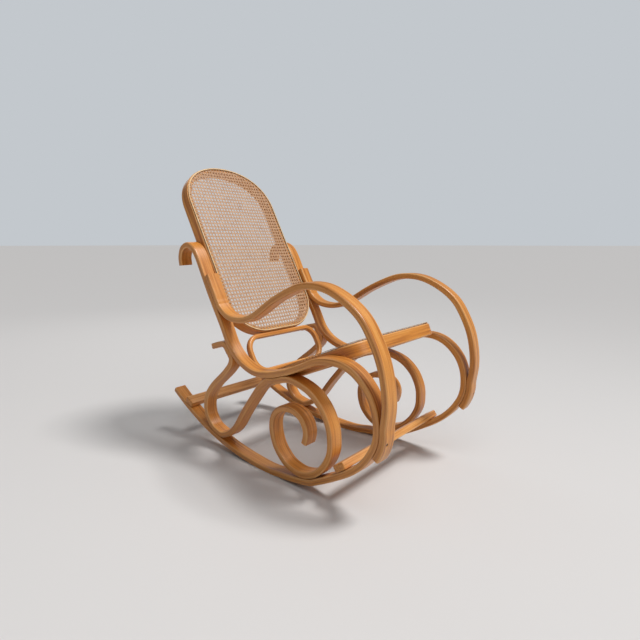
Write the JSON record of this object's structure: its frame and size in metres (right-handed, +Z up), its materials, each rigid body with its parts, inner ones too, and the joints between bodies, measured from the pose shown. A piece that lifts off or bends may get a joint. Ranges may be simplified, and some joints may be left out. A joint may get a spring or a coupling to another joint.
{
  "type": "rocking chair",
  "caption": "Rocking chair of flat bent wood strips with scrolled sides, curved arms and runners, and a hoop back and seat filled with woven cane.",
  "frame": {"origin": "on the floor, midway between the sides and in the middle of the chair's depth", "axes": "+Z up, -Y to the front, where the sitter looks, +X to the sitter's left"},
  "size_m": [0.5516, 0.9574, 0.962],
  "materials": {
    "beech": "satin lacquer, honey brown",
    "cane": "bare woven rattan cane, pale",
    "reed": "bare rattan reed, pale",
    "screw": "dark, oxidised"
  },
  "bodies": {
    "root": {"right_main_strip": "beech", "right_arm": "beech", "right_rear_scroll": "beech", "right_front_spiral": "beech", "right_arm_top_screw": "screw", "right_arm_front_screw": "screw", "right_scroll_upright_screw": "screw", "right_scroll_foot_screw": "screw", "right_spiral_foot_screw": "screw", "right_scroll_rail_screw": "screw", "right_spiral_rail_screw": "screw", "right_front_stretcher_screw": "screw", "right_rear_stretcher_screw": "screw", "right_seat_screw_1": "screw", "right_seat_screw_2": "screw", "right_back_screw_1": "screw", "right_back_screw_2": "screw", "left_main_strip": "beech", "left_arm": "beech", "left_rear_scroll": "beech", "left_front_spiral": "beech", "left_arm_top_screw": "screw", "left_arm_front_screw": "screw", "left_scroll_upright_screw": "screw", "left_scroll_foot_screw": "screw", "left_spiral_foot_screw": "screw", "left_scroll_rail_screw": "screw", "left_spiral_rail_screw": "screw", "left_front_stretcher_screw": "screw", "left_rear_stretcher_screw": "screw", "left_seat_screw_1": "screw", "left_seat_screw_2": "screw", "left_back_screw_1": "screw", "left_back_screw_2": "screw", "back_hoop": "beech", "back_cane": "cane", "back_spline": "reed", "oval_ring": "beech", "right_ring_top_screw": "screw", "right_ring_foot_screw": "screw", "left_ring_top_screw": "screw", "left_ring_foot_screw": "screw", "seat_hoop": "beech", "seat_cane": "cane", "seat_spline": "reed", "front_stretcher": "beech", "rear_stretcher": "beech"}
  },
  "joints": []
}
